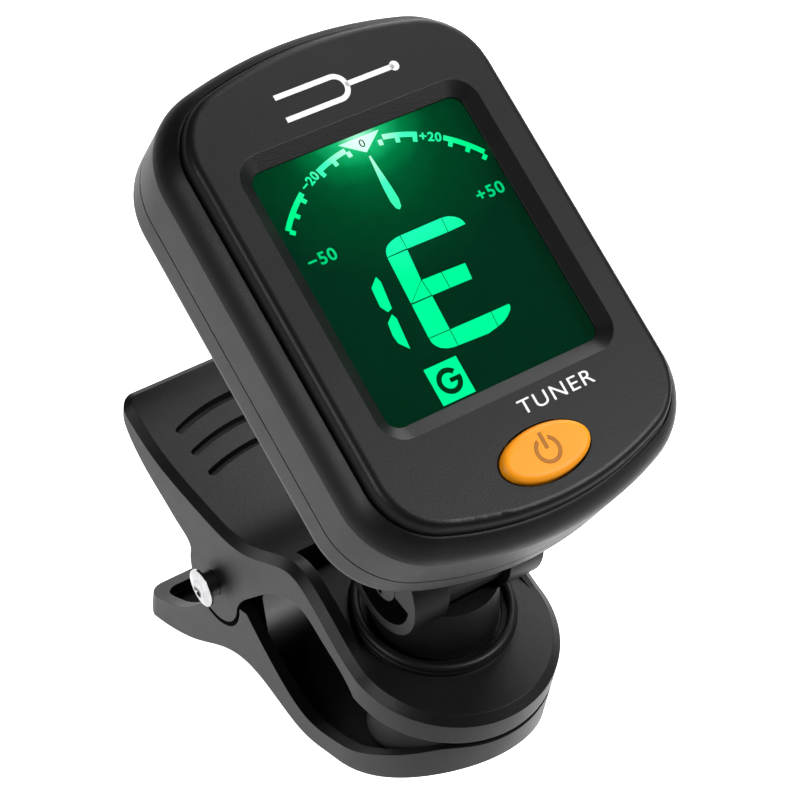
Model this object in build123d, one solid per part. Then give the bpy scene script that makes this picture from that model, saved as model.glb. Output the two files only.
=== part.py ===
from build123d import *
from math import cos, radians, sin
import os

# A clip-on tuner. Millimetres. Row frame: X runs across the clip, +Y towards its levers, +Z up.
# The origin is where the head's swivel axis meets the gripping face of the upper pad.
# Clip pieces are drawn from the deck, the flat top of the upper jaw round the swivel collar.
# Head pieces are drawn in the head's own frame: X across, Y up the face, Z out of it, origin mid screen.

# ---- driving dimensions ----
DECK_Z = 5.2              # deck above the upper pad's gripping face
PAD_GAP = 0.3             # between the two pads with the jaws closed
PAD_R = 8.6               # lower pad, set towards the nose
PAD_Y = -5.6
UPPER_PAD_R = 10.4        # upper pad's gripping face

CLIP_HALF = 12.5          # half of the clip's width, also the radius of its nose
NOSE_Y = -3.1             # centre of the round nose
TIP_Y, TIP_Z = 45.7, -3.9 # end of the upper lever
UPPER_WALL = 2.0
LOWER_WALL = 1.4
SHELF = 2.0               # thickness of the deck and the upper lever
FLOOR = 1.6               # thickness of the lower jaw's floor
SKIRT_DROP = 4.0          # rim of the nose below the deck
TAIL_Y = 36.9             # end of the lower lever
BEVEL = 0.95              # along the upper jaw's top edges

PIVOT_Y, PIVOT_Z = 23.4, -14.8   # jaw pivot, from the deck's origin
PIN_R = 1.6
FIT = 0.05                # radial clearance of running fits
LOBE_R = 5.0              # ear of the upper jaw round the pivot
NOTCH_R = 5.6             # notch of the lower jaw round that ear
WIRE_R = 0.5
COIL_R = 3.2

COLLAR_R = 9.4
POST_R = 7.35
STEM_R = 3.95
BARREL_R = 6.2            # hinge barrel of the swivel post
BARREL_HALF = 8.5
SLOT_HALF = 4.05          # slot for the head's tongue
HINGE_Z = 10.4            # tilt axis above the deck
TILT = 21.0               # lean of the head at rest, in degrees

HEAD_HALF = 20.0          # half of the head's width
TOP_V, BOTTOM_V = 27.5, -30.0
TOP_ARC_R, BOTTOM_ARC_R = 52.2, 39.0
PART_Z = -10.1            # parting line between the shells
SEAM = 0.2                # open line between the shells
BACK_Z = -14.6
SHELL = 2.0
CAVITY_TOP = -2.2
LIP_Z = -1.65             # inner edge of the rounded shoulder round the face
SHOULDER_R = 5.0
SCREEN_W, SCREEN_H = 25.7, 29.1
RECESS_W, RECESS_H = 28.7, 32.3
BUTTON_V = -22.85
BUTTON_A, BUTTON_B = 5.25, 2.75
HINGE_V, HINGE_N = -23.2, -29.3  # tilt axis in the head's frame
TONGUE_HALF = 3.9
KNUCKLE_R = 5.2
SCREW_PLACES = [(-14.6, 18.6), (14.6, 18.6), (-14.6, -19.5), (14.6, -19.5)]
BOARD_TOP, BOARD_BOTTOM = -5.45, -6.45
CELL_V = 4.0
CELL_R, CELL_H = 10.0, 3.2
COVER_R = 11.6
BOLT_R = 1.25

DECK = Pos(0, 0, DECK_Z)
HEAD = DECK * Pos(0, 0, HINGE_Z) * Rot(TILT, 0, 0) * Pos(0, -HINGE_V, -HINGE_N)


def side_solid(edges, half, inner=0.0):
    """Closed outline in (y, z), extruded across the clip; inner leaves the middle out."""
    solid = extrude(Plane.YZ * make_face(edges), half, both=True)
    if inner:
        solid -= Box(2 * inner, 300, 300)
    return solid


def rod_x(radius, x0, x1, y, z):
    """Round rod along X from x0 to x1."""
    return Pos((x0 + x1) / 2, y, z) * Rot(0, 90, 0) * Cylinder(radius, x1 - x0)


def slab(shape, z0, z1):
    """A flat outline made solid from z0 to z1."""
    return Pos(0, 0, z0) * extrude(shape, z1 - z0)


def pivot_point(radius, degrees):
    """A point at that radius and angle round the jaw pivot, in (y, z)."""
    return (PIVOT_Y + radius * cos(radians(degrees)), PIVOT_Z + radius * sin(radians(degrees)))


# ---- clip ----
def clip_plan(half, nose_r, tail_y, corner):
    """The clip from above: a round nose and a square tail with rounded corners."""
    tail = Pos(0, (NOSE_Y + tail_y) / 2) * Rectangle(2 * half, tail_y - NOSE_Y)
    if corner:
        tail = fillet(tail.vertices().group_by(Axis.Y)[-1], corner)
    return tail + Pos(0, NOSE_Y) * Circle(nose_r)


def upper_top():
    """Top line of the upper jaw: deck, hump behind the collar, hollowed lever."""
    return [
        Line((-20, 0), (-3.5, 0)),
        Spline((-3.5, 0), (1.5, 1.3), (6.0, 3.0), (10.0, 3.4), (13.4, 1.5), (20.2, -3.6), (24.5, -4.9),
               (28.5, -5.5), (33.0, -6.0), (37.5, -6.1), (42.0, -5.3), (TIP_Y, TIP_Z),
               tangents=((1, 0.1), (1, 0.5))),
    ]


def upper_side():
    """Outline of the upper jaw's side wall, with the ear that carries the pivot."""
    ear_rear, ear_low, ear_front = (pivot_point(LOBE_R, a) for a in (5, -90, 172))
    return upper_top() + [
        Line((TIP_Y, TIP_Z), (TIP_Y, TIP_Z - 1.5)),
        Spline((TIP_Y, TIP_Z - 1.5), (44.6, -6.6), (43.3, -8.0), (41.3, -9.4), (38.9, -10.5), (34.7, -11.7),
               (31.0, -12.7), ear_rear, tangents=((-0.6, -1), (-0.1, -1))),
        ThreePointArc(ear_rear, ear_low, ear_front),
        Spline(ear_front, (16.4, -9.6), (11.0, -2.6), (7.2, -0.7), (3.2, -1.5), (-3.5, -SKIRT_DROP),
               tangents=((-0.14, 1), (-0.8, -0.6))),
        Line((-3.5, -SKIRT_DROP), (-20, -SKIRT_DROP)),
        Line((-20, -SKIRT_DROP), (-20, 0)),
    ]


def shelf_side():
    """The same top line with the shelf's thickness under it."""
    low = [edge.moved(Pos(0, -SHELF)) for edge in upper_top()]
    return upper_top() + low + [Line((-20, 0), (-20, -SHELF)), Line((TIP_Y, TIP_Z), (TIP_Y, TIP_Z - SHELF))]


def deck_side():
    """Section of the deck behind the collar and of the riser's plate."""
    corners = [(-3.5, 0), (10.5, 0), (12.2, 2.0), (14.4, 0.6), (12.6, -1.3), (-3.5, -1.3)]
    return [Line(a, b) for a, b in zip(corners, corners[1:] + corners[:1])]


def grip_groove(y_apex, floor_z):
    """A groove with sloped walls, bowed towards the lever's end."""
    bow, half_angle, floor_width = 22.5, 21.2, 0.72
    arc = CenterArc((0, y_apex - bow), bow, 90 - half_angle, 2 * half_angle)
    return Pos(0, 0, floor_z) * extrude(SlotArc(arc, floor_width), 1.4, taper=-11)


def upper_jaw():
    walls = side_solid(upper_side(), CLIP_HALF, CLIP_HALF - UPPER_WALL)
    shelf = side_solid(shelf_side(), CLIP_HALF - 0.5)
    skirt_ring = Pos(0, NOSE_Y) * (Circle(CLIP_HALF) - Circle(CLIP_HALF - 1.8))
    skirt = slab(skirt_ring, -SKIRT_DROP, -0.5) & side_solid(upper_side(), CLIP_HALF)
    body = walls + shelf + skirt
    plan = clip_plan(CLIP_HALF, CLIP_HALF, TIP_Y, 1.9)
    body &= slab(plan, -40, 20)
    # the top edges of nose, walls and lever are bevelled
    rim = [e for e in body.edges() if on_top_rim(e)]
    body = chamfer(rim, BEVEL)
    # flat deck round the collar, with a sloped riser up to the hump
    pocket = slab(Pos(0, NOSE_Y) * Circle(10.9) + Pos(0, 4.6) * Rectangle(20.4, 18.4), 0, 6)
    riser = Pos(0, 10.5, 0) * Rot(-40, 0, 0) * Box(30, 12, 30, align=(Align.CENTER, Align.MIN, Align.CENTER))
    body -= pocket - riser
    body += side_solid(deck_side(), CLIP_HALF - UPPER_WALL + 0.1)
    for y_apex, floor_z in ((40.3, -6.6), (36.8, -6.95), (33.1, -6.9)):
        body -= grip_groove(y_apex, floor_z)
    body += collar()
    body -= Cylinder(STEM_R + FIT, 20)
    body -= rod_x(PIN_R + FIT, -20, 20, PIVOT_Y, PIVOT_Z)
    return body


def on_top_rim(edge):
    """True for the outer top edges of the upper jaw in front of its tip."""
    box, mid = edge.bounding_box(), edge.center()
    at_side = abs(abs(mid.X) - CLIP_HALF) < 0.02 and box.size.X < 0.02 and box.size.Y > 4
    at_nose = mid.Y < NOSE_Y - 1 and abs(box.min.Z) < 0.02 and abs(box.max.Z) < 0.02 and box.size.Y > 4
    return (at_side and mid.Z > -7.2 and box.max.Z > -0.2) or at_nose


def collar():
    """Beaded ring that the swivel post turns in."""
    bead = [
        Line((7.6, -0.1), (7.6, 0.25)),
        Line((7.6, 0.25), (8.35, 0.45)),
        ThreePointArc((8.35, 0.45), (8.85, 1.35), (9.25, 0.7)),
        Line((9.25, 0.7), (COLLAR_R, 0.45)),
        Line((COLLAR_R, 0.45), (COLLAR_R, -0.1)),
        Line((COLLAR_R, -0.1), (7.6, -0.1)),
    ]
    return revolve(Plane.XZ * make_face(bead), Axis.Z)


def floor_line():
    """Underside of the lower jaw, nose to tail, in (y, z)."""
    return Spline((-20, -6.2), (-15.6, -8.6), (-11.0, -12.2), (-5.4, -15.9), (-1.2, -18.1), (3.2, -20.1),
                  (8.2, -20.4), (13.0, -20.4), (17.0, -21.6), (20.5, -24.1), (25.5, -28.9), (30.5, -32.6),
                  (TAIL_Y - 2.2, -34.9))


def lower_side():
    """Outline of the lower jaw's side wall, notched round the upper ear."""
    notch_front, notch_low, notch_rear = (pivot_point(NOTCH_R, a) for a in (167, -120, -78))
    return [
        Line((-20, -4.9), (-14.4, -4.9)),
        Spline((-14.4, -4.9), (-12.0, -6.4), (-8.2, -9.9), (-5.6, -12.2), (-2.4, -14.4), (0.8, -16.2),
               (3.9, -17.1), (7.0, -16.8), (11.7, -15.2), (16.6, -12.9), tangents=((1, -0.1), (1, 0.5))),
        Line((16.6, -12.9), notch_front),
        ThreePointArc(notch_front, notch_low, notch_rear),
        Spline(notch_rear, (29.1, -26.6), (TAIL_Y, -32.5), tangents=((1, -1.4), (1, -0.7))),
        Line((TAIL_Y, -32.5), (TAIL_Y - 2.2, -34.9)),
        floor_line(),
        Line((-20, -6.2), (-20, -4.9)),
    ]


def tray_hollow():
    """What the lower jaw's floor and walls leave open, above the floor."""
    top = floor_line().moved(Pos(0, FLOOR / cos(radians(32))))
    start, end = top @ 0, top @ 1
    edges = [top, Line((end.X, end.Y), (60, end.Y)), Line((60, end.Y), (60, 20)), Line((60, 20), (-20, 20)),
             Line((-20, 20), (start.X, start.Y))]
    return make_face(edges)


def lower_jaw():
    body = side_solid(lower_side(), CLIP_HALF)
    body &= slab(clip_plan(CLIP_HALF, CLIP_HALF, TAIL_Y, 2.6), -60, 20)
    hollow = extrude(Plane.YZ * tray_hollow(), CLIP_HALF, both=True)
    inner = CLIP_HALF - LOWER_WALL
    body -= hollow & slab(clip_plan(inner, inner, TAIL_Y - 2.0, 1.8), -60, 20)
    for side in (-1, 1):
        body += Pos(side * 9.35, 0, 0) * pivot_cheek(0.95)
    body -= rod_x(PIN_R + FIT, -20, 20, PIVOT_Y, PIVOT_Z)
    return body


def pivot_cheek(half):
    """Cheek inside the upper ears, from the lower jaw's floor up to the pin."""
    outline = [
        ThreePointArc(pivot_point(4.4, -10), pivot_point(4.4, 90), pivot_point(4.4, 190)),
        Line(pivot_point(4.4, 190), (16.8, -20.9)),
        Line((16.8, -20.9), (27.4, -29.6)),
        Line((27.4, -29.6), pivot_point(4.4, -10)),
    ]
    return side_solid(outline, half)


def upper_pad():
    flange = slab(Pos(0, NOSE_Y) * Circle(UPPER_PAD_R), -DECK_Z, -SKIRT_DROP)
    plug = slab(Pos(0, NOSE_Y) * Circle(10.5), -SKIRT_DROP, -SHELF) - Pos(0, 0, -1) * Cylinder(7.0, 6.2)
    return flange + (plug & side_solid(under_shelf(), 15))


def under_shelf():
    """Room under the deck, kept clear of the jaw's arch behind it."""
    return [Line((-20, -SHELF - 0.02), (4.6, -SHELF - 0.02)), Line((4.6, -SHELF - 0.02), (4.6, -8)),
            Line((4.6, -8), (-20, -8)), Line((-20, -8), (-20, -SHELF - 0.02))]


def lower_pad():
    """Wedge of rubber: its face lies level under the upper pad, its foot on the sloped floor."""
    top = -DECK_Z - PAD_GAP
    wedge = slab(Pos(0, PAD_Y) * Circle(PAD_R), -30, top)
    wedge &= extrude(Plane.YZ * tray_hollow(), 15, both=True)
    wedge = wedge & Pos(0, -20 + 5.5, -20) * Box(60, 40, 60)
    return wedge


def pivot_pin():
    """Rivet through the ears, with a low domed head at each end."""
    half = CLIP_HALF + 1.45
    pin = rod_x(PIN_R, -half, half, PIVOT_Y, PIVOT_Z)
    for side in (-1, 1):
        pin += Pos(side * half, PIVOT_Y, PIVOT_Z) * Rot(0, side * 90, 0) * rivet_head()
    return pin


def rivet_head():
    """Round disc with a shallow domed top and a round-bottomed dimple, standing on z = 0."""
    radius, height, dome_r, dimple_r = 2.35, 0.72, 6.8, 1.7
    disc = Cylinder(radius, height, align=(Align.CENTER, Align.CENTER, Align.MIN))
    disc &= Pos(0, 0, height - dome_r) * Sphere(dome_r)
    return disc - Pos(0, 0, height + 1.1) * Sphere(dimple_r)


def torsion_spring():
    """Wire coil round the pin: one leg under the upper lever, the other on the lower jaw's floor."""
    turns, pitch = 4, 1.2
    up_angle, down_angle = 16.0, -58.0
    start, sweep_angle = 90 + up_angle, 360 * turns + (down_angle - 90) % 360 - (90 + up_angle)
    height = pitch * sweep_angle / 360
    start_dir = (0, cos(radians(start)), sin(radians(start)))
    seat = Plane(origin=(-height / 2, PIVOT_Y, PIVOT_Z), x_dir=start_dir, z_dir=(1, 0, 0))
    path = Helix(pitch, height, COIL_R)
    section = Plane(origin=path @ 0, z_dir=path % 0) * Circle(WIRE_R)
    spring = seat * sweep(section, path)
    legs = ((-height / 2, up_angle, 11.4, start), (height / 2, down_angle, 13.0, down_angle - 90))
    for x, angle, length, at in legs:
        y, z = pivot_point(COIL_R, at)
        seat = Plane(origin=(x, y, z), z_dir=(0, cos(radians(angle)), sin(radians(angle))))
        leg = seat * Cylinder(WIRE_R, length, align=(Align.CENTER, Align.CENTER, Align.MIN))
        spring = spring + leg + Pos(x, y, z) * Sphere(WIRE_R)
    return spring


def swivel_post():
    """Turning post: a domed base in the collar, a cored clevis barrel above it, a stem through the deck."""
    base = Pos(0, 0, 0.3) * Cone(POST_R, 6.45, 6.7, align=(Align.CENTER, Align.CENTER, Align.MIN))
    post = base + rod_x(BARREL_R, -BARREL_HALF, BARREL_HALF, 0, HINGE_Z)
    post += Pos(0, 0, -2.1) * Cylinder(STEM_R, 3, align=(Align.CENTER, Align.CENTER, Align.MIN))
    slot = Pos(0, 0, 7.0) * Box(2 * SLOT_HALF, 40, 20, align=(Align.CENTER, Align.CENTER, Align.MIN))
    post -= slot + rod_x(KNUCKLE_R + 0.35, -SLOT_HALF, SLOT_HALF, 0, HINGE_Z)
    for side in (-1, 1):
        core = rod_x(5.0, 5.6, 12, 0, HINGE_Z) - Pos(0, 0, HINGE_Z + 5.2) * Box(40, 40, 10)
        core = core - rod_x(2.6, 5.6, 7.4, 0, HINGE_Z) + rod_x(2.5, 7.4, 12, 0, HINGE_Z)
        post -= core if side > 0 else core.mirror(Plane.YZ)
    post -= rod_x(BOLT_R + FIT, -20, 20, 0, HINGE_Z)
    post -= Pos(0, 0, -3) * Cylinder(1.0, 7.2, align=(Align.CENTER, Align.CENTER, Align.MIN))
    return post


def ring(outer, inner, z0, z1):
    return slab(Circle(outer) - Circle(inner), z0, z1)


def swivel_screw():
    """Pan-head screw that holds the post down from under the deck."""
    shank = slab(Circle(0.98), -2.8, 3.6)
    return shank + slab(Circle(2.2), -3.9, -2.6) - slab(Rectangle(3.0, 0.6) + Rectangle(0.6, 3.0), -4.0, -3.3)


def hinge_bolt():
    """Bolt through the clevis and the head's knuckle, its head in the left ear's core."""
    bolt = rod_x(BOLT_R, -7.4, 8.4, 0, HINGE_Z) + rod_x(2.3, -8.4, -7.4, 0, HINGE_Z)
    return bolt - Pos(-8.4, 0, HINGE_Z) * Box(0.9, 0.6, 4.0)


def hinge_nut():
    """Hexagon nut on the bolt, in the right ear's core."""
    hexagon = RegularPolygon(2.35, 6) - Circle(BOLT_R + 0.01)
    return Pos(7.4, 0, HINGE_Z) * Rot(0, 90, 0) * extrude(hexagon, 1.0)


# ---- head ----
def outline(inset=0.0):
    """The head from the front: straight sides, arched top and bottom, round corners."""
    top = Pos(0, TOP_V - TOP_ARC_R) * Circle(TOP_ARC_R)
    bottom = Pos(0, BOTTOM_V + BOTTOM_ARC_R) * Circle(BOTTOM_ARC_R)
    shape = Rectangle(2 * HEAD_HALF, 80) & top & bottom
    shape = fillet(shape.vertices(), 9.4)
    return offset(shape, -inset) if inset else shape


def front_shell():
    """Face on a raised plateau inside a broad rounded shoulder, hollow behind, with the screen's recess."""
    shoulder_low = -5.45
    shoulder = slab(outline(-0.03), PART_Z - 1, shoulder_low + SHOULDER_R)
    shoulder = fillet(shoulder.faces().sort_by(Axis.Z)[-1].edges(), SHOULDER_R)
    body = shoulder & slab(outline(), PART_Z, LIP_Z)
    ledge_z = LIP_Z - 0.25
    body -= slab(outline(1.75), ledge_z, 1)
    plateau = Pos(0, 0, ledge_z - 0.2) * extrude(outline(1.96), 0.2 - ledge_z, taper=10)
    body += fillet(plateau.faces().sort_by(Axis.Z)[-1].edges(), 0.9)
    body -= slab(outline(SHELL), PART_Z - 1, CAVITY_TOP - 1.0) + slab(outline(SHELL + 1.2), -5, CAVITY_TOP)
    body += bosses()
    # window: a tapered recess down to the glass, and the pocket that the glass sits in
    slope = (RECESS_W - SCREEN_W) / 2
    recess = loft([Pos(0, 0, 0.01) * RectangleRounded(RECESS_W, RECESS_H, 3.0),
                   Pos(0, 0, -1.0) * RectangleRounded(SCREEN_W, SCREEN_H, 3.0 - slope)])
    body -= recess + slab(RectangleRounded(SCREEN_W, SCREEN_H, 1.5), -2, -0.9)
    body -= slab(Rectangle(28.2, 31.6), -3, -1.25)
    body -= slab(Pos(0, BUTTON_V) * Ellipse(BUTTON_A + 0.22, BUTTON_B + 0.22), -4, 2)
    return body


def bosses():
    """Four screw bosses from the face down to the parting line, with blind pilot holes."""
    posts = []
    for u, v in SCREW_PLACES:
        post = slab(Circle(2.2), PART_Z + 0.2, CAVITY_TOP + 0.1)
        posts.append(Pos(u, v) * (post - slab(Circle(1.02), -20, -3.6)))
    return Part() + posts & slab(outline(1.6), -20, 0)


def rear_shell():
    body = slab(outline(), BACK_Z, PART_Z - SEAM)
    body = fillet(body.faces().sort_by(Axis.Z)[0].edges(), 1.6)
    floor_z = BACK_Z + 1.8
    body -= slab(outline(SHELL), floor_z, 0)
    lip = slab(outline(SHELL + 0.15) - outline(SHELL + 1.15), PART_Z - 1.4, PART_Z + 0.9)
    lip += slab(outline(SHELL - 0.1) - outline(SHELL + 1.15), PART_Z - 1.4, PART_Z - SEAM)
    for u, v in SCREW_PLACES:
        post = Pos(u, v) * slab(Circle(2.2), floor_z - 0.01, PART_Z)
        body += post & slab(outline(1.0), -20, 0)
        lip -= Pos(u, v) * slab(Circle(2.5), -20, 0)
    body += lip
    for u, v in SCREW_PLACES:
        body -= Pos(u, v) * (slab(Circle(1.1), -20, 0) + slab(Circle(2.0), -20, BACK_Z + 1.1))
    cell_wall = Pos(0, CELL_V) * ring(14.2, 13.2, floor_z - 0.01, -8.6)
    body += cell_wall
    cover_hole = Circle(COVER_R + 0.08) + Rot(0, 0, 45) * Rectangle(26.0, 4.6)
    body -= Pos(0, CELL_V) * slab(cover_hole, -20, floor_z + 0.001)
    return body + tongue()


def tongue():
    """Arm from the back of the head to its knuckle on the tilt axis."""
    arm = Pos(0, -23.2, (HINGE_N + BACK_Z) / 2) * Box(2 * TONGUE_HALF, 6.8, BACK_Z - HINGE_N)
    foot = loft([Pos(0, -22.6, BACK_Z + 0.4) * Rectangle(2 * TONGUE_HALF + 5, 11.4),
                 Pos(0, -23.2, BACK_Z - 4.2) * Rectangle(2 * TONGUE_HALF, 6.8)])
    knuckle = rod_x(KNUCKLE_R, -TONGUE_HALF, TONGUE_HALF, HINGE_V, HINGE_N)
    return arm + foot + knuckle - rod_x(BOLT_R + FIT, -20, 20, HINGE_V, HINGE_N)


def display_window():
    return slab(RectangleRounded(28.0, 31.4, 0.4), -2.25, -1.25)


def lcd_panel():
    return slab(Rectangle(28.0, 31.4), -4.05, -2.25)


def backlight_panel():
    """Light guide plate behind the liquid crystal panel."""
    return slab(Rectangle(27.0, 31.4), BOARD_TOP, -4.05)


def backlight_leds():
    """Two side-firing lamps at the light guide's upper edge, lying on the board."""
    leds = [Pos(u, 17.0) * slab(Rectangle(3.2, 1.6), BOARD_TOP, BOARD_TOP + 1.0) for u in (-7, 7)]
    return Compound(leds)


def lcd_connector():
    """Zebra strip that joins the panel's contacts to the board, below the light guide."""
    return Pos(0, -16.9) * slab(Rectangle(24.0, 1.8), BOARD_TOP, -2.6)


def circuit_board():
    board = slab(outline(2.6), BOARD_BOTTOM, BOARD_TOP)
    for u, v in SCREW_PLACES:
        board -= Pos(u, v) * Cylinder(2.5, 40)
    return board


def control_chip():
    """Moulded chip with its legs on the back of the board."""
    body = Pos(0, -15.0) * slab(Rectangle(7.0, 7.0), BOARD_BOTTOM - 1.4, BOARD_BOTTOM - 0.1)
    for i in range(8):
        shift = -2.8 + 0.8 * i
        body += Pos(shift, -15.0) * slab(Rectangle(0.35, 9.0), BOARD_BOTTOM - 0.25, BOARD_BOTTOM)
        body += Pos(0, -15.0 + shift) * slab(Rectangle(9.0, 0.35), BOARD_BOTTOM - 0.25, BOARD_BOTTOM)
    return body


def tact_switch():
    case = Pos(0, BUTTON_V) * slab(Rectangle(4.6, 4.6), BOARD_TOP, BOARD_TOP + 0.95)
    return case + Pos(0, BUTTON_V) * slab(Circle(1.2), BOARD_TOP + 0.9, -4.05)


def power_button():
    """Domed oval cap with a flange under the face and an engraved power mark."""
    cap = slab(Ellipse(BUTTON_A, BUTTON_B), -3.0, 0.9)
    cap = fillet(cap.faces().sort_by(Axis.Z)[-1].edges(), 0.75)
    cap += slab(Ellipse(BUTTON_A + 1.0, BUTTON_B + 0.9), -3.1, -2.5) + slab(Circle(1.6), -3.4, -3.0)
    arc = Circle(1.45) - Circle(1.1) - Pos(0, 1.2) * Rectangle(1.3, 1.4)
    mark = arc + Pos(0, 1.1) * Rectangle(0.36, 1.5)
    return Pos(0, BUTTON_V) * (cap - slab(mark, 0.7, 2))


def piezo_sensor():
    """Brass disc with its ceramic layer, bonded to the back behind the arm, where vibration comes in."""
    floor_z = BACK_Z + 1.8
    disc = slab(Circle(5.4), floor_z, floor_z + 0.3)
    return Pos(0, -17.6) * (disc + slab(Circle(3.6), floor_z + 0.3, floor_z + 0.55))


def coin_cell():
    low = BACK_Z + 1.82
    can = Pos(0, CELL_V) * slab(Circle(CELL_R), low, low + 2.7)
    cap = Pos(0, CELL_V) * slab(Circle(CELL_R - 1.2), low + 2.7, low + CELL_H)
    return can + cap


def battery_contact_negative():
    """Springy strip from the board down to the middle of the cell."""
    tip_z = BACK_Z + 1.82 + CELL_H
    pad = Pos(0, CELL_V + 8.0) * slab(Rectangle(4.0, 3.0), BOARD_BOTTOM - 0.25, BOARD_BOTTOM)
    profile = Polyline(
        (CELL_V + 6.6, BOARD_BOTTOM), (CELL_V + 1.0, tip_z + 0.25), (CELL_V - 1.0, tip_z + 0.25),
        (CELL_V - 1.0, tip_z), (CELL_V + 1.2, tip_z), (CELL_V + 7.2, BOARD_BOTTOM - 0.25),
        (CELL_V + 7.2, BOARD_BOTTOM), close=True)
    return pad + extrude(Plane.YZ * make_face(profile), 1.5, both=True)


def battery_contact_positive():
    """Strip from the board to the cell's rim."""
    rim_v = CELL_V - CELL_R
    foot = Pos(0, rim_v - 1.6) * slab(Rectangle(5.0, 2.6), BOARD_BOTTOM - 0.25, BOARD_BOTTOM)
    return foot + Pos(0, rim_v - 0.15) * slab(Rectangle(5.0, 0.3), BACK_Z + 3.1, BOARD_BOTTOM)


def battery_cover():
    """Quarter-turn cover: a flush disc with a coin slot, and two lugs behind the back wall."""
    floor_z = BACK_Z + 1.8
    disc = slab(Circle(COVER_R), BACK_Z + 0.05, floor_z - 0.02)
    rim = ring(11.5, 10.5, floor_z - 0.05, floor_z + 1.2)
    lugs = slab(Rectangle(25.4, 3.6) & Circle(12.7), floor_z + 0.12, floor_z + 1.2)
    lugs -= slab(Circle(11.0), -20, 0)
    slot = slab(Rectangle(11.0, 1.6), -20, BACK_Z + 0.75)
    return Pos(0, CELL_V) * (disc + rim + lugs - slot)


def housing_screws():
    """Four pan-head screws from the back into the front shell's bosses."""
    screws = []
    for u, v in SCREW_PLACES:
        cross = slab(Rectangle(2.4, 0.5) + Rectangle(0.5, 2.4), -20, BACK_Z + 0.6)
        head = slab(Circle(1.8), BACK_Z + 0.2, BACK_Z + 1.1) - cross
        screws.append(Pos(u, v) * (head + slab(Circle(1.0), BACK_Z + 1.05, -5.0)))
    return Compound(screws)


CLIP_NODES = {
    "upper_jaw": upper_jaw, "lower_jaw": lower_jaw, "upper_pad": upper_pad, "lower_pad": lower_pad,
    "pivot_pin": pivot_pin, "torsion_spring": torsion_spring, "swivel_post": swivel_post,
    "swivel_screw": swivel_screw, "hinge_bolt": hinge_bolt, "hinge_nut": hinge_nut,
    "thrust_washer": lambda: ring(7.0, STEM_R + 0.15, 0, 0.3),
    "retaining_washer": lambda: ring(6.0, 1.05, -2.6, -2.1),
}
HEAD_NODES = {
    "front_shell": front_shell, "rear_shell": rear_shell, "display_window": display_window,
    "lcd_panel": lcd_panel, "backlight_panel": backlight_panel, "backlight_leds": backlight_leds,
    "lcd_connector": lcd_connector, "circuit_board": circuit_board, "control_chip": control_chip,
    "tact_switch": tact_switch, "power_button": power_button, "piezo_sensor": piezo_sensor,
    "coin_cell": coin_cell, "battery_contact_negative": battery_contact_negative,
    "battery_contact_positive": battery_contact_positive, "battery_cover": battery_cover,
    "housing_screws": housing_screws,
}

os.makedirs("parts", exist_ok=True)
for place, nodes in ((DECK, CLIP_NODES), (HEAD, HEAD_NODES)):
    for name, make in nodes.items():
        export_step(place * make(), f"parts/{name}.step")
        print(name)
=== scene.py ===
from math import cos, pi, radians, sin

import bmesh
import bpy
from mathutils import Euler, Matrix, Vector


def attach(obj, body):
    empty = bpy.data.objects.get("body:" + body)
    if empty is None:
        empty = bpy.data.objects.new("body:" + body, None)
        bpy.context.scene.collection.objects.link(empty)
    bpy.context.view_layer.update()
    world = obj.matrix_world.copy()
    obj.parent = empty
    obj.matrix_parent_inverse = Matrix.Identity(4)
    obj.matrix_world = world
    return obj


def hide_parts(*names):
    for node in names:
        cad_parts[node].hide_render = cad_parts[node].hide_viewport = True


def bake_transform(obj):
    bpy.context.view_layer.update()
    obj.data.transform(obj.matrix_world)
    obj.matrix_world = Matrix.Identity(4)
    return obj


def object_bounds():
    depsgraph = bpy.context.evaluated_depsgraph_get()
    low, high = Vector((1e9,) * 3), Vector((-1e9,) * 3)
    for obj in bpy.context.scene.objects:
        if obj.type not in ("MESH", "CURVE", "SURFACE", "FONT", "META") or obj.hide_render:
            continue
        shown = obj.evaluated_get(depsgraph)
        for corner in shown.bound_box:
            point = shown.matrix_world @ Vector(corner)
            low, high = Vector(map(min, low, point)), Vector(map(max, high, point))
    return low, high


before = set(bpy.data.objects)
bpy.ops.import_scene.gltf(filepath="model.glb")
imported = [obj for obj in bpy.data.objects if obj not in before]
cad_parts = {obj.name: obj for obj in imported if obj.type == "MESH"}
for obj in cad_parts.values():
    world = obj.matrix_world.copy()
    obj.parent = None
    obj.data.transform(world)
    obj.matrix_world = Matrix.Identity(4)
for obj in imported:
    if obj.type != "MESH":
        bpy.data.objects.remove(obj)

cad_box = [list(corner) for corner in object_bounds()]
MM = 0.001

# ---- the head's own frame: X across, Y up the face, Z out of it, origin mid screen ----
TILT = radians(21.0)                                # lean of the head at rest
HINGE = Vector((0.0, 0.0, 15.6)) * MM               # tilt axis
HINGE_IN_HEAD = Vector((0.0, -23.2, -29.3)) * MM    # the same axis in the head's frame
HEAD = Matrix.Translation(HINGE) @ Matrix.Rotation(TILT, 4, "X") @ Matrix.Translation(-HINGE_IN_HEAD)
PIVOT = Vector((0.0, 23.4, -9.6)) * MM              # jaw pivot
GLASS_IN = -2.25                                    # inner face of the window, in the head's frame, mm


# ---- materials ----
def new_material(name):
    """A material with its node tree and its Principled shader."""
    mat = bpy.data.materials.new(name)
    mat.use_nodes = True
    tree = mat.node_tree
    bsdf = tree.nodes["Principled BSDF"]
    return mat, tree, bsdf


def node(tree, kind, **values):
    """A new node. Each value goes to the input of that name, or else to the node's own setting."""
    made = tree.nodes.new(kind)
    for key, value in values.items():
        if key in made.inputs:
            made.inputs[key].default_value = value
        else:
            setattr(made, key, value)
    return made


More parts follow.
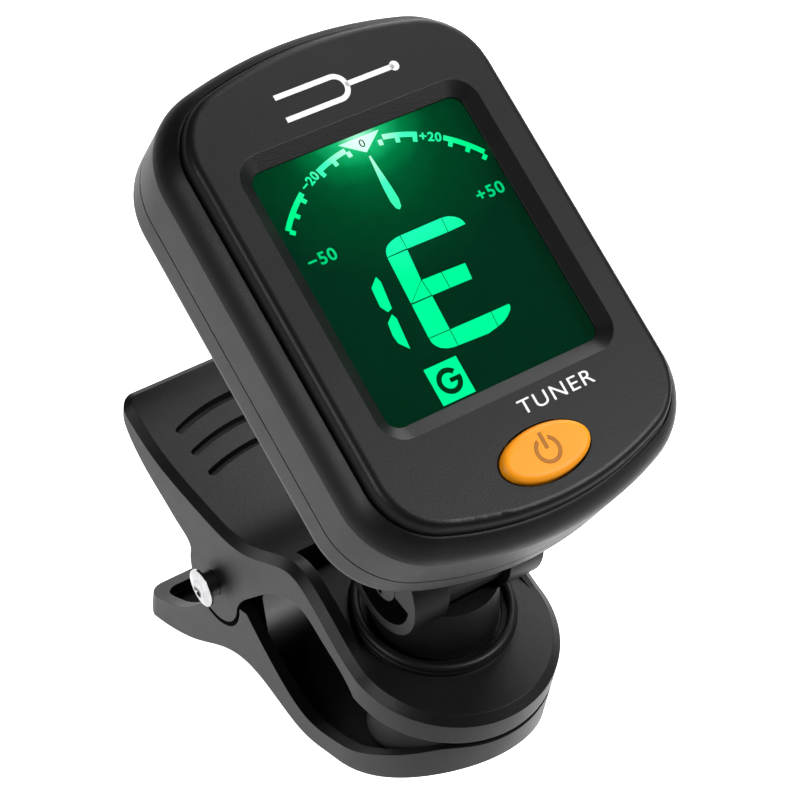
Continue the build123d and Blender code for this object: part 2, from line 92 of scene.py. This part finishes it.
def noise(tree, scale, detail=4.0, roughness=0.55):
    """Noise in object coordinates, so a scale counts waves per metre."""
    coords = node(tree, "ShaderNodeTexCoord")
    made = node(tree, "ShaderNodeTexNoise", Scale=scale, Detail=detail, Roughness=roughness)
    tree.links.new(coords.outputs["Object"], made.inputs["Vector"])
    return made


def ramp(tree, source, stops):
    """Colours along a 0 to 1 value, as (position, colour) stops."""
    made = node(tree, "ShaderNodeValToRGB")
    elements = made.color_ramp.elements
    while len(elements) < len(stops):
        elements.new(0.5)
    for element, (position, colour) in zip(elements, stops):
        element.position = position
        element.color = (*colour, 1)
    tree.links.new(source, made.inputs["Fac"])
    return made


def vary_roughness(tree, bsdf, source, low, high):
    """Roughness between low and high, after a 0 to 1 source."""
    spread = node(tree, "ShaderNodeMapRange")
    spread.inputs["To Min"].default_value = low
    spread.inputs["To Max"].default_value = high
    tree.links.new(source, spread.inputs["Value"])
    tree.links.new(spread.outputs["Result"], bsdf.inputs["Roughness"])


def edge_and_bump(tree, bsdf, layers, edge=0.12):
    """Rounds sharp edges by so many mm and adds bump layers of (height source, strength, depth in mm)."""
    last = node(tree, "ShaderNodeBevel", samples=6)
    last.inputs["Radius"].default_value = edge * MM
    for source, strength, depth in layers:
        bump = node(tree, "ShaderNodeBump", Strength=strength, Distance=depth * MM)
        tree.links.new(source, bump.inputs["Height"])
        tree.links.new(last.outputs["Normal"], bump.inputs["Normal"])
        last = bump
    tree.links.new(last.outputs["Normal"], bsdf.inputs["Normal"])


FLOW_WAVES, SMEAR_WAVES, GRAIN_WAVES = 90.0, 420.0, 5200.0    # waves per metre in moulded plastic


def moulded(name, dark, light, low, high, grain=0.05, edge=0.12, shine=0.5):
    """Moulded plastic: a fine spark-eroded grain, slow flow marks, and slightly uneven gloss."""
    mat, tree, bsdf = new_material(name)
    flow = noise(tree, FLOW_WAVES, 3.0)
    fine = noise(tree, GRAIN_WAVES, 2.0, 0.6)
    smear = noise(tree, SMEAR_WAVES, 5.0, 0.65)
    colour = ramp(tree, flow.outputs["Fac"], [(0.3, dark), (0.72, light)])
    tree.links.new(colour.outputs["Color"], bsdf.inputs["Base Color"])
    vary_roughness(tree, bsdf, smear.outputs["Fac"], low, high)
    edge_and_bump(tree, bsdf, [(fine.outputs["Fac"], 0.35, grain), (flow.outputs["Fac"], 0.05, 0.2)], edge)
    bsdf.inputs["IOR"].default_value = 1.5
    bsdf.inputs["Specular IOR Level"].default_value = shine
    return mat


def metal(name, dark, light, low, high, scratch=(40.0, 2600.0, 2600.0), edge=0.08):
    """Plated or drawn metal with fine drawing lines along X and small stains."""
    mat, tree, bsdf = new_material(name)
    coords = node(tree, "ShaderNodeTexCoord")
    stretch = node(tree, "ShaderNodeMapping")
    stretch.inputs["Scale"].default_value = scratch
    tree.links.new(coords.outputs["Object"], stretch.inputs["Vector"])
    lines = node(tree, "ShaderNodeTexNoise", Scale=1.0, Detail=6.0, Roughness=0.7)
    tree.links.new(stretch.outputs["Vector"], lines.inputs["Vector"])
    stain = noise(tree, 700.0, 5.0)
    colour = ramp(tree, stain.outputs["Fac"], [(0.35, dark), (0.65, light)])
    tree.links.new(colour.outputs["Color"], bsdf.inputs["Base Color"])
    bsdf.inputs["Metallic"].default_value = 1.0
    vary_roughness(tree, bsdf, lines.outputs["Fac"], low, high)
    edge_and_bump(tree, bsdf, [(lines.outputs["Fac"], 0.15, 0.01)], edge)
    return mat


SOOT, WORN_SOOT = (0.0045, 0.0045, 0.0048), (0.007, 0.007, 0.0073)
black = moulded("satin_black_plastic", SOOT, WORN_SOOT, 0.36, 0.46, shine=0.23)
black_clip = moulded("satin_black_clip", SOOT, WORN_SOOT, 0.36, 0.47, grain=0.06, shine=0.23)
rubber = moulded("grey_pad_rubber", (0.045, 0.045, 0.047), (0.065, 0.065, 0.067), 0.55, 0.72,
                 grain=0.12, edge=0.3, shine=0.3)
orange = moulded("orange_button", (0.93, 0.305, 0.003), (1.0, 0.35, 0.006), 0.42, 0.52,
                 grain=0.02, edge=0.15, shine=0.3)
# painted shade: a darker orange that stands in for the shade inside the button's engraved power mark
engraving_shade_orange = moulded("orange_painted_engraving_shade", (0.38, 0.14, 0.016), (0.46, 0.18, 0.024), 0.45, 0.55,
                      grain=0.02, shine=0.2)
nylon = moulded("natural_nylon", (0.62, 0.60, 0.54), (0.70, 0.68, 0.62), 0.45, 0.6)
chip_black = moulded("epoxy_black", (0.02, 0.02, 0.02), (0.03, 0.03, 0.032), 0.5, 0.65, grain=0.08)
light_guide = moulded("frosted_light_guide", (0.60, 0.78, 0.68), (0.68, 0.85, 0.75), 0.3, 0.4, grain=0.02)
zebra = moulded("striped_silicone", (0.40, 0.30, 0.30), (0.50, 0.42, 0.42), 0.6, 0.7)
chrome = metal("bright_chrome", (0.42, 0.42, 0.43), (0.52, 0.52, 0.53), 0.08, 0.18, edge=0.10)
blacked = metal("blacked_steel", (0.03, 0.03, 0.032), (0.05, 0.05, 0.052), 0.30, 0.45)
zinc = metal("zinc_plated_steel", (0.42, 0.42, 0.41), (0.55, 0.54, 0.52), 0.26, 0.40)
wire = metal("spring_wire", (0.36, 0.36, 0.37), (0.50, 0.50, 0.51), 0.22, 0.36)
nickel = metal("nickel_strip", (0.62, 0.60, 0.55), (0.72, 0.70, 0.66), 0.20, 0.32)
brass = metal("rolled_brass", (0.62, 0.45, 0.18), (0.74, 0.56, 0.26), 0.24, 0.36)


def laminate():
    """Green solder mask with tracks under it."""
    mat, tree, bsdf = new_material("solder_mask")
    coords = node(tree, "ShaderNodeTexCoord")
    tracks = node(tree, "ShaderNodeTexBrick", Scale=260.0)
    tracks.inputs["Mortar Size"].default_value = 0.06
    tree.links.new(coords.outputs["Object"], tracks.inputs["Vector"])
    colour = ramp(tree, tracks.outputs["Fac"], [(0.0, (0.012, 0.10, 0.04)), (1.0, (0.02, 0.17, 0.07))])
    tree.links.new(colour.outputs["Color"], bsdf.inputs["Base Color"])
    smear = noise(tree, 300.0)
    vary_roughness(tree, bsdf, smear.outputs["Fac"], 0.25, 0.4)
    edge_and_bump(tree, bsdf, [(tracks.outputs["Fac"], 0.3, 0.03)])
    return mat


def window_glass():
    """Clear acrylic with a very faint ripple."""
    mat, tree, bsdf = new_material("clear_window")
    ripple = noise(tree, 60.0, 2.0)
    tint = ramp(tree, ripple.outputs["Fac"], [(0.3, (0.94, 0.98, 0.96)), (0.7, (0.97, 1.0, 0.98))])
    tree.links.new(tint.outputs["Color"], bsdf.inputs["Base Color"])
    vary_roughness(tree, bsdf, ripple.outputs["Fac"], 0.015, 0.035)
    bsdf.inputs["Transmission Weight"].default_value = 1.0
    bsdf.inputs["IOR"].default_value = 1.02
    return mat


def head_coords(tree):
    """Object coordinates turned into the head's frame, in millimetres."""
    coords = node(tree, "ShaderNodeTexCoord")
    turn = node(tree, "ShaderNodeMapping", vector_type="TEXTURE")
    turn.inputs["Location"].default_value = HEAD.to_translation()
    turn.inputs["Rotation"].default_value = (TILT, 0, 0)
    turn.inputs["Scale"].default_value = (MM, MM, MM)
    tree.links.new(coords.outputs["Object"], turn.inputs["Vector"])
    return turn.outputs["Vector"]


def oval_field(tree, vector, centre, reach):
    """1 at the centre, falling to 0 on an oval that reaches so far across and up."""
    place = node(tree, "ShaderNodeMapping")
    place.inputs["Scale"].default_value = (1 / reach[0], 1 / reach[1], 0)
    place.inputs["Location"].default_value = (-centre[0] / reach[0], -centre[1] / reach[1], 0)
    tree.links.new(vector, place.inputs["Vector"])
    field = node(tree, "ShaderNodeTexGradient", gradient_type="SPHERICAL")
    tree.links.new(place.outputs["Vector"], field.inputs["Vector"])
    return field.outputs["Fac"]


def mix_colours(tree, kind, first, second):
    """Both colours, added or multiplied."""
    made = node(tree, "ShaderNodeMix", data_type="RGBA", blend_type=kind)
    made.inputs["Factor"].default_value = 1.0
    tree.links.new(first, made.inputs[6])
    tree.links.new(second, made.inputs[7])
    return made.outputs[2]


def shine_by_itself(tree, bsdf, colour, base, strength=1.0):
    """A matt surface without reflections that gives off the colour."""
    tree.links.new(colour, bsdf.inputs["Emission Color"])
    bsdf.inputs["Emission Strength"].default_value = strength
    bsdf.inputs["Base Color"].default_value = (*base, 1)
    bsdf.inputs["Roughness"].default_value = 0.5
    bsdf.inputs["Specular IOR Level"].default_value = 0.0


LAMP_U = 0.8    # the screen's lamp lies behind its upper edge, at this place across


def lcd_ground():
    """Dark green ground of the display, lit from its upper edge, with a soft mottle."""
    mat, tree, bsdf = new_material("lcd_ground")
    near = oval_field(tree, head_coords(tree), (LAMP_U, 14.9), (8.0, 5.5))
    far = oval_field(tree, head_coords(tree), (LAMP_U, 15.5), (24.0, 26.0))
    far_colour = ramp(tree, far, [(0.0, (0.0012, 0.020, 0.0080)), (0.35, (0.0010, 0.023, 0.0090)),
                                  (0.62, (0.0004, 0.052, 0.0140)), (1.0, (0.0, 0.17, 0.045))])
    near_colour = ramp(tree, near, [(0.0, (0, 0, 0)), (0.35, (0.0, 0.10, 0.026)),
                                    (0.70, (0.01, 0.42, 0.15)), (1.0, (0.45, 1.0, 0.75))])
    light = mix_colours(tree, "ADD", far_colour.outputs["Color"], near_colour.outputs["Color"])
    mottle = noise(tree, 900.0, 4.0, 0.7)
    shade = ramp(tree, mottle.outputs["Fac"], [(0.25, (0.86, 0.86, 0.86)), (0.75, (1.1, 1.1, 1.1))])
    light = mix_colours(tree, "MULTIPLY", light, shade.outputs["Color"])
    shine_by_itself(tree, bsdf, light, (0.0, 0.008, 0.004))
    return mat


def lit(name, low, high, reach=(0.40, 0.68, 0.95)):
    """A lit display segment: brighter and whiter towards the lamp at the screen's upper edge."""
    mat, tree, bsdf = new_material(name)
    field = oval_field(tree, head_coords(tree), (LAMP_U, 15.0), (22.0, 27.0))
    stops = [(0.0, low), (reach[0], low), (reach[1], high), (reach[2], (0.80, 1.0, 0.92))]
    shine_by_itself(tree, bsdf, ramp(tree, field, stops).outputs["Color"], (0.0, 0.05, 0.02), 1.12)
    return mat


def ink():
    """White print with fine specks."""
    mat, tree, bsdf = new_material("white_print")
    specks = noise(tree, 2400.0, 4.0)
    colour = ramp(tree, specks.outputs["Fac"], [(0.3, (0.80, 0.80, 0.80)), (0.6, (0.93, 0.93, 0.93))])
    tree.links.new(colour.outputs["Color"], bsdf.inputs["Base Color"])
    vary_roughness(tree, bsdf, specks.outputs["Fac"], 0.45, 0.6)
    return mat


def unlit():
    """A segment that isn't lit, over a lit one."""
    mat, tree, bsdf = new_material("segment_off")
    smear = noise(tree, 900.0)
    colour = ramp(tree, smear.outputs["Fac"], [(0.3, (0.0, 0.018, 0.003)), (0.7, (0.0, 0.026, 0.005))])
    shine_by_itself(tree, bsdf, colour.outputs["Color"], (0, 0.01, 0.005))
    return mat


glass, ground, print_white, board_green = window_glass(), lcd_ground(), ink(), laminate()
dark_ink = unlit()
segment_lit = lit("segment_lit", (0.0, 0.92, 0.285), (0.02, 0.98, 0.52))
scale_lit = lit("scale_lit", (0.0, 0.85, 0.24), (0.06, 1.0, 0.50), (0.50, 0.78, 0.97))
label_lit = lit("label_lit", (0.0, 0.56, 0.17), (0.02, 0.85, 0.36))

NODE_MATERIALS = {
    black: ["front_shell", "rear_shell", "battery_cover"],
    black_clip: ["upper_jaw", "lower_jaw", "swivel_post"],
    rubber: ["upper_pad", "lower_pad"],
    orange: ["power_button"],
    chrome: ["pivot_pin", "coin_cell"],
    blacked: ["hinge_bolt", "hinge_nut"],
    zinc: ["swivel_screw", "retaining_washer", "housing_screws"],
    nylon: ["thrust_washer"],
    glass: ["display_window"],
    ground: ["lcd_panel"],
    light_guide: ["backlight_panel", "backlight_leds"],
    zebra: ["lcd_connector"],
    board_green: ["circuit_board"],
    chip_black: ["control_chip", "tact_switch"],
    nickel: ["battery_contact_negative", "battery_contact_positive"],
    brass: ["piezo_sensor"],
}
for mat, names in NODE_MATERIALS.items():
    for name in names:
        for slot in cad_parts[name].material_slots:
            slot.material = mat


# ---- helpers for new pieces ----
def piece(name, verts, faces, mat, body=None, smooth=False):
    """A mesh given in the object's own frame, in metres, riding on a body."""
    mesh = bpy.data.meshes.new(name)
    mesh.from_pydata(verts, [], faces)
    mesh.materials.append(mat)
    if smooth:
        mesh.shade_smooth()
    obj = bpy.data.objects.new(name, mesh)
    bpy.context.scene.collection.objects.link(obj)
    if body:
        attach(obj, body)
    return obj


def flat_parts(name, outlines, n, thick, mat, body="head"):
    """Thin shapes on height n of the head's frame. An outline is (u, v) points in mm, drawn anticlockwise."""
    verts, faces = [], []
    for points in outlines:
        base, count = len(verts), len(points)
        for height in (n, n + thick):
            verts += [HEAD @ (Vector((u, v, height)) * MM) for u, v in points]
        faces.append([base + count + i for i in range(count)])
        faces.append([base + i for i in reversed(range(count))])
        for i in range(count):
            j = (i + 1) % count
            faces.append([base + i, base + j, base + count + j, base + count + i])
    return piece(name, verts, faces, mat, body)


def arc(centre, radius, start, end, steps):
    """Points on an arc, angles in degrees."""
    angles = [radians(start + (end - start) * i / steps) for i in range(steps + 1)]
    return [(centre[0] + radius * cos(a), centre[1] + radius * sin(a)) for a in angles]


def words(name, text, size, centre, turn, n, thick, mat, bold=0.0, spread=1.0):
    """Solid letters on height n of the head's frame, as wide and as high as size says, in mm and degrees."""
    curve = bpy.data.curves.new(name, "FONT")
    curve.body = text
    curve.align_x, curve.align_y = "CENTER", "CENTER"
    curve.size, curve.offset, curve.space_character = 1.0, bold, spread
    temp = bpy.data.objects.new(name + "_curve", curve)
    bpy.context.scene.collection.objects.link(temp)
    bpy.context.view_layer.update()
    mesh = bpy.data.meshes.new_from_object(temp.evaluated_get(bpy.context.evaluated_depsgraph_get()))
    bpy.data.objects.remove(temp)
    low = Vector([min(v.co[i] for v in mesh.vertices) for i in range(3)])
    high = Vector([max(v.co[i] for v in mesh.vertices) for i in range(3)])
    middle = (low + high) / 2
    factors = (size[0] / (high.x - low.x), size[1] / (high.y - low.y), 1, 1)
    place = (HEAD @ Matrix.Scale(MM, 4) @ Matrix.Translation((centre[0], centre[1], n + thick))
             @ Matrix.Rotation(radians(turn), 4, "Z") @ Matrix.Diagonal(factors)
             @ Matrix.Translation(-middle))
    work = bmesh.new()
    work.from_mesh(mesh)
    skirt = bmesh.ops.extrude_face_region(work, geom=work.faces[:])
    for item in skirt["geom"]:
        if isinstance(item, bmesh.types.BMVert):
            item.co.z -= thick
    work.transform(place)
    bmesh.ops.recalc_face_normals(work, faces=work.faces[:])
    work.to_mesh(mesh)
    work.free()
    mesh.materials.clear()
    mesh.materials.append(mat)
    obj = bpy.data.objects.new(name, mesh)
    bpy.context.scene.collection.objects.link(obj)
    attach(obj, "head")
    return obj


# ---- the display: thin shapes just inside the window's inner face, the dark ones on top of the lit ones ----
LCD, FILM, DARK_FILM = GLASS_IN + 0.02, 0.03, 0.02    # height and thicknesses, mm
SCALE_AT = (0.68, -1.80)                              # centre of the dial's arc
SCALE_R = 15.9
SCALE_MIDDLE, TICK_STEP = 89.2, 7.25                  # degrees
TICKS = (1, 2, 3, 5, 6, 7)                            # the fourth makes room for a label


def scale_band(start, end):
    """A stretch of the dial's line."""
    outer = arc(SCALE_AT, SCALE_R, start, end, 14)
    inner = arc(SCALE_AT, SCALE_R - 0.58, end, start, 14)
    return outer + inner


def scale_tick(angle):
    """A short tick inside the line."""
    half = 0.26 / SCALE_R * 180 / pi
    inner = arc(SCALE_AT, SCALE_R - 1.12, angle + half, angle - half, 1)
    return arc(SCALE_AT, SCALE_R - 0.5, angle - half, angle + half, 1) + inner


bands = [(39.3, 56.0), (66.4, 80.4), (97.0, 111.8), (123.0, 139.8)]
outlines = [scale_band(a, b) for a, b in bands]
outlines += [scale_tick(SCALE_MIDDLE + side * tick * TICK_STEP) for side in (-1, 1) for tick in TICKS]
flat_parts("lcd_scale", outlines, LCD, FILM, scale_lit)

pointer = [(-1.62, 14.48), (0.84, 12.72), (3.34, 14.48)]
flat_parts("lcd_pointer", [pointer], LCD, FILM, scale_lit)
words("lcd_zero", "0", (0.62, 0.86), (0.86, 13.78), 0, LCD + FILM, DARK_FILM, dark_ink)
needle = [(0.82, 12.25), (0.42, 8.6), (0.36, 7.0), (0.52, 6.2), (0.84, 5.92), (1.16, 6.2), (1.36, 7.0),
          (1.30, 8.6), (1.0, 12.25)]
flat_parts("lcd_needle", [needle], LCD, FILM, scale_lit)

LABELS = {
    # name: text, size, centre, turn, boldness, spread of the letters
    "lcd_minus_50": ("\u221250", (3.25, 1.36), (-9.45, 4.40), 0, 0.02, 1.12),
    "lcd_plus_50": ("+50", (3.35, 1.36), (11.0, 4.08), 0, 0.02, 1.12),
    "lcd_minus_20": ("\u221220", (2.30, 1.06), (-6.38, 12.16), 24.5, 0.03, 1.1),
    "lcd_plus_20": ("+20", (2.40, 1.06), (8.16, 11.76), -24.5, 0.03, 1.1),
}
for name, (text, size, centre, turn, bold, spread) in LABELS.items():
    words(name, text, size, centre, turn, LCD, FILM, label_lit, bold, spread)

GAP = 0.05      # half of the dark line between two segments


def slant(v):
    """Left edge of the big figure at that height: it leans a little."""
    return -3.12 - (1.85 - v) * 0.052


NOTE = [
    # top: corner, bar, end
    [(slant(1.85), 1.85 + GAP), (-0.74, 1.90 + GAP), (-0.66 - GAP, 3.42), (-1.25, 3.38), (-1.85, 3.24),
     (-2.35, 3.04), (-2.72, 2.76), (-2.95, 2.42)],
    [(-0.72 + GAP, 1.90), (4.33 - GAP, 1.84), (4.48 - GAP, 3.45), (-0.64 + GAP, 3.42)],
    [(4.33 + GAP, 1.84), (6.54, 1.90), (6.44, 2.36), (6.20, 2.74), (5.80, 3.06), (5.20, 3.34),
     (4.48 + GAP, 3.45)],
    # upper left bar, cut by a slanting line at its foot
    [(slant(1.85), 1.85 - GAP), (slant(-3.42), -3.42), (-1.10, -1.58), (-0.74, 1.84 - GAP)],
    # middle: wedge, two bars
    [(slant(-3.42) + 0.14, -3.44 + GAP), (-0.92 - GAP, -3.46 + GAP), (-1.06 - GAP, -1.66)],
    [(-0.92 + GAP, -3.48), (1.32 - GAP, -3.51), (1.34 - GAP, -1.70), (-1.05 + GAP, -1.64)],
    [(1.32 + GAP, -3.51), (4.02, -3.56), (4.22, -1.80), (1.34 + GAP, -1.70)],
    # lower left bar
    [(slant(-3.5), -3.50 - GAP), (slant(-7.3), -7.34 + GAP), (-1.08, -7.38 + GAP), (-0.93, -3.50 - GAP)],
    # bottom: corner, bar, end
    [(slant(-7.3), -7.34 - GAP), (-3.56, -7.86), (-3.34, -8.32), (-2.96, -8.70), (-2.36, -9.00),
     (-1.70, -9.14), (-1.16 - GAP, -9.18), (-1.08 - GAP, -7.38 - GAP)],
    [(-1.16 + GAP, -9.18), (2.53, -9.34), (3.85 - GAP, -9.10), (3.98 - GAP, -7.44), (-1.08 + GAP, -7.39)],
    [(3.85 + GAP, -9.08), (4.70, -8.86), (5.42, -8.50), (5.92, -8.12), (6.20, -7.78), (6.22, -7.44),
     (3.98 + GAP, -7.44)],
    # the small figure beside it
    [(-5.32, 0.50), (-5.58, 0.30), (-6.38, -0.37), (-6.57, -2.46), (-6.10, -3.24), (-5.52, -3.06),
     (-5.12, -0.17)],
    [(-5.86, -3.62), (-6.72, -4.26), (-6.94, -5.61), (-6.84, -6.52), (-5.99, -7.52), (-5.62, -4.15)],
]
flat_parts("lcd_note", NOTE, LCD, FILM, segment_lit)


def ring_letter(centre, outer, inner, mouth):
    """A round letter G, open at its upper right, with its bar."""
    u, v = centre
    wall = outer - inner
    letter = arc(centre, outer, mouth, 360, 30) + arc(centre, inner, 360, mouth, 30)
    half, inside = wall * 0.42, u + 0.05
    bar = [(inside, v - half), (u + outer, v - half), (u + outer, v + half), (inside, v + half)]
    return [letter, bar]


mode_box = [(-5.94, -14.10), (-2.04, -14.10), (-2.00, -10.02), (-5.90, -10.02)]
flat_parts("lcd_mode_box", [mode_box], LCD, FILM, segment_lit)
letter = ring_letter((-3.97, -12.05), 1.40, 0.84, 38)
flat_parts("lcd_mode_letter", letter, LCD + FILM + 0.005, DARK_FILM, dark_ink)

# ---- print on the face ----
PRINT_AT, PRINT_THICK = 0.004, 0.012
words("print_word", "TUNER", (9.1, 1.50), (4.55, -17.90), 0, PRINT_AT, PRINT_THICK, print_white, spread=1.14)


def capsule(a, b, half, steps=10):
    """A straight stroke with round ends."""
    along = Vector((b[0] - a[0], b[1] - a[1]))
    heading = Vector((1, 0)).angle_signed(along) * -180 / pi
    return arc(b, half, heading - 90, heading + 90, steps) + arc(a, half, heading + 90, heading + 270, steps)


def fork_mark(u, v):
    """A plain tuning fork lying on its side, its prongs to the left."""
    gap, half, reach = 1.30, 0.29, 6.6
    bend = arc((u, v), gap + half, -90, 90, 20) + arc((u, v), gap - half, 90, -90, 20)
    prongs = [[(u - reach, v + side * gap - half), (u, v + side * gap - half), (u, v + side * gap + half),
               (u - reach, v + side * gap + half)] for side in (-1, 1)]
    stem = capsule((u + gap + 0.15, v), (u + 6.9, v), half)
    ball = arc((u + 7.2, v), 0.55, 0, 345, 23)
    return [bend, stem, ball] + prongs


flat_parts("print_mark", fork_mark(0.2, 19.45), PRINT_AT, PRINT_THICK, print_white)


# ---- painted shade of the button's engraved power mark: a darker orange sheet over the recess, a ring open at the top, and a bar ----
BUTTON_V, CAP_TOP = -22.85, 0.9    # the button's middle and the top of its cap
mark_ring = arc((0, BUTTON_V), 1.47, 121, 419, 36) + arc((0, BUTTON_V), 1.06, 419, 121, 36)
bar_low, bar_high = BUTTON_V + 0.1, BUTTON_V + 1.87
mark_bar = [(-0.21, bar_low), (0.21, bar_low), (0.21, bar_high), (-0.21, bar_high)]
flat_parts("power_sign_painted_shade", [mark_ring, mark_bar], CAP_TOP + 0.002, PRINT_THICK, engraving_shade_orange,
           body="power_button")


# ---- torsion spring, a wire wound round the jaw pivot with a leg to each jaw ----
TURNS, PITCH, COIL_R, WIRE_R = 4, 1.2, 3.2, 0.5
UP_ANGLE, UP_LEG = 16.0, 11.2          # leg under the upper lever
DOWN_ANGLE, DOWN_LEG = -58.0, 12.8     # leg on the lower jaw's floor


def swing(angle):
    """A unit step at that angle, in the plane that the jaws turn in."""
    return Vector((0, cos(radians(angle)), sin(radians(angle))))


def spring_path(coil_steps=150, leg_steps=8):
    """Centre line of the wire in mm, from the upper leg's end to the lower one's, and the coil's width."""
    start = 90 + UP_ANGLE
    sweep = 360 * TURNS + (DOWN_ANGLE - 90) % 360 - start
    width = PITCH * sweep / 360
    middle = PIVOT / MM
    coil = []
    for i in range(coil_steps + 1):
        along = i / coil_steps
        side = Vector((-width / 2 + width * along, 0, 0))
        coil.append(middle + side + swing(start + sweep * along) * COIL_R)
    first = [coil[0] + swing(UP_ANGLE) * UP_LEG * (1 - i / leg_steps) for i in range(leg_steps)]
    last = [coil[-1] + swing(DOWN_ANGLE) * DOWN_LEG * (i / leg_steps) for i in range(1, leg_steps + 1)]
    return first + coil + last, width


def tube(name, path, radius, mat, sides=14):
    """A round wire along a path, in mm, with domed ends."""
    side = Vector((1, 0, 0))
    rings = []
    for i, point in enumerate(path):
        ahead = (path[min(i + 1, len(path) - 1)] - path[max(i - 1, 0)]).normalized()
        side = (side - ahead * side.dot(ahead)).normalized()
        rings.append((point, side.copy(), ahead.cross(side), ahead, radius))
    dome, flatness = (0.5, 1.0, 1.4), 0.6    # angles of the end rings, in radians
    for end, sign in ((0, -1), (-1, 1)):
        point, a, b, ahead, r = rings[end]
        cap = [(point + ahead * sign * r * flatness * sin(t), a, b, ahead, r * cos(t)) for t in dome]
        rings = cap[::-1] + rings if sign < 0 else rings + cap
    verts, faces = [], []
    turn = 2 * pi / sides
    for point, a, b, _, r in rings:
        verts += [(point + a * r * cos(turn * k) + b * r * sin(turn * k)) * MM for k in range(sides)]
    for i in range(len(rings) - 1):
        low, high = i * sides, (i + 1) * sides
        for k in range(sides):
            j = (k + 1) % sides
            faces.append([low + k, low + j, high + j, high + k])
    faces.append(list(range(sides))[::-1])
    faces.append([(len(rings) - 1) * sides + k for k in range(sides)])
    return piece(name, verts, faces, mat, smooth=True)


path, coil_width = spring_path()
spring = tube("torsion_spring_wire", path, WIRE_R, wire)
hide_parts("torsion_spring")
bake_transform(spring)

# ---- camera ----
CAMERA_PLACE = (-0.1228, -0.1191, 0.2350)
CAMERA_TURN = (40.455, -7.059, -35.068)    # degrees
LENS, SENSOR = 116.9, 36.0                 # mm
camera = bpy.data.objects.new("camera", bpy.data.cameras.new("camera"))
camera.data.lens = LENS
camera.data.sensor_width = SENSOR
camera.data.clip_start, camera.data.clip_end = 0.01, 10.0
camera.location = CAMERA_PLACE
camera.rotation_euler = Euler([radians(angle) for angle in CAMERA_TURN])
bpy.context.scene.collection.objects.link(camera)
bpy.context.scene.camera = camera


# ---- floor, world and lights ----
GLOW_AT, GLOW_REACH = (0.030, 0.065), (0.138, 0.115)    # the glowing patch, in metres
NEAR_GLOW, FAR_GLOW = 1.25, 0.0
GLOW_EDGE = 0.174                                       # how softly the patch ends
FLOOR_HALF, FLOOR_GAP = 1.6, 0.0004
WORLD_LIGHT = 0.05


def pale_floor():
    """Pale floor with a glowing patch under the object, like a small light table."""
    mat, tree, bsdf = new_material("pale_floor")
    grain = noise(tree, 3.0, 2.0)
    colour = ramp(tree, grain.outputs["Fac"], [(0.3, (0.60, 0.60, 0.60)), (0.7, (0.62, 0.62, 0.62))])
    tree.links.new(colour.outputs["Color"], bsdf.inputs["Base Color"])
    bsdf.inputs["Roughness"].default_value = 0.9
    bsdf.inputs["Specular IOR Level"].default_value = 0.1
    coords = node(tree, "ShaderNodeTexCoord")
    field = oval_field(tree, coords.outputs["Object"], GLOW_AT, GLOW_REACH)
    glow = ramp(tree, field, [(0.0, (FAR_GLOW,) * 3), (GLOW_EDGE, (1, 1, 1))])
    tree.links.new(glow.outputs["Color"], bsdf.inputs["Emission Color"])
    bsdf.inputs["Emission Strength"].default_value = NEAR_GLOW
    low, half = cad_box[0][2] - FLOOR_GAP, FLOOR_HALF
    corners = [(-half, -half, low), (half, -half, low), (half, half, low), (-half, half, low)]
    piece("floor", [Vector(c) for c in corners], [[0, 1, 2, 3]], mat)


pale_floor()
world = bpy.data.worlds.new("studio")
world.use_nodes = True
world.node_tree.nodes["Background"].inputs["Color"].default_value = (1, 1, 1, 1)
world.node_tree.nodes["Background"].inputs["Strength"].default_value = WORLD_LIGHT
bpy.context.scene.world = world
bpy.context.scene.view_settings.view_transform = "Standard"


SUBJECT = (0.0, 0.0, 0.03)
SOFTBOXES = {
    # name: place, target, width, power
    "key_softbox": ((0.203, -0.159, 0.40), SUBJECT, 0.24, 0.50),
    "low_key_softbox": ((0.236, -0.236, 0.33), SUBJECT, 0.14, 1.35),
    "rear_softbox": ((0.295, 0.295, 0.20), SUBJECT, 0.24, 1.3),
    "top_rear_softbox": ((0.206, 0.144, 0.403), (0.0, 0.02, 0.0), 0.14, 0.5),
    "left_softbox": ((-0.401, 0.0, 0.234), SUBJECT, 0.12, 0.65),
    "left_low_softbox": ((-0.440, 0.0, 0.124), SUBJECT, 0.18, 0.2),
}


def softbox(name, place, target, width, power):
    """A square area light, itself unseen, aimed at the target."""
    data = bpy.data.lights.new(name, "AREA")
    data.shape = "RECTANGLE"
    data.size = data.size_y = width
    data.energy = power
    lamp = bpy.data.objects.new(name, data)
    lamp.location = place
    lamp.rotation_euler = (Vector(target) - Vector(place)).to_track_quat("-Z", "Y").to_euler()
    lamp.visible_camera = False
    bpy.context.scene.collection.objects.link(lamp)


for name, settings in SOFTBOXES.items():
    softbox(name, *settings)
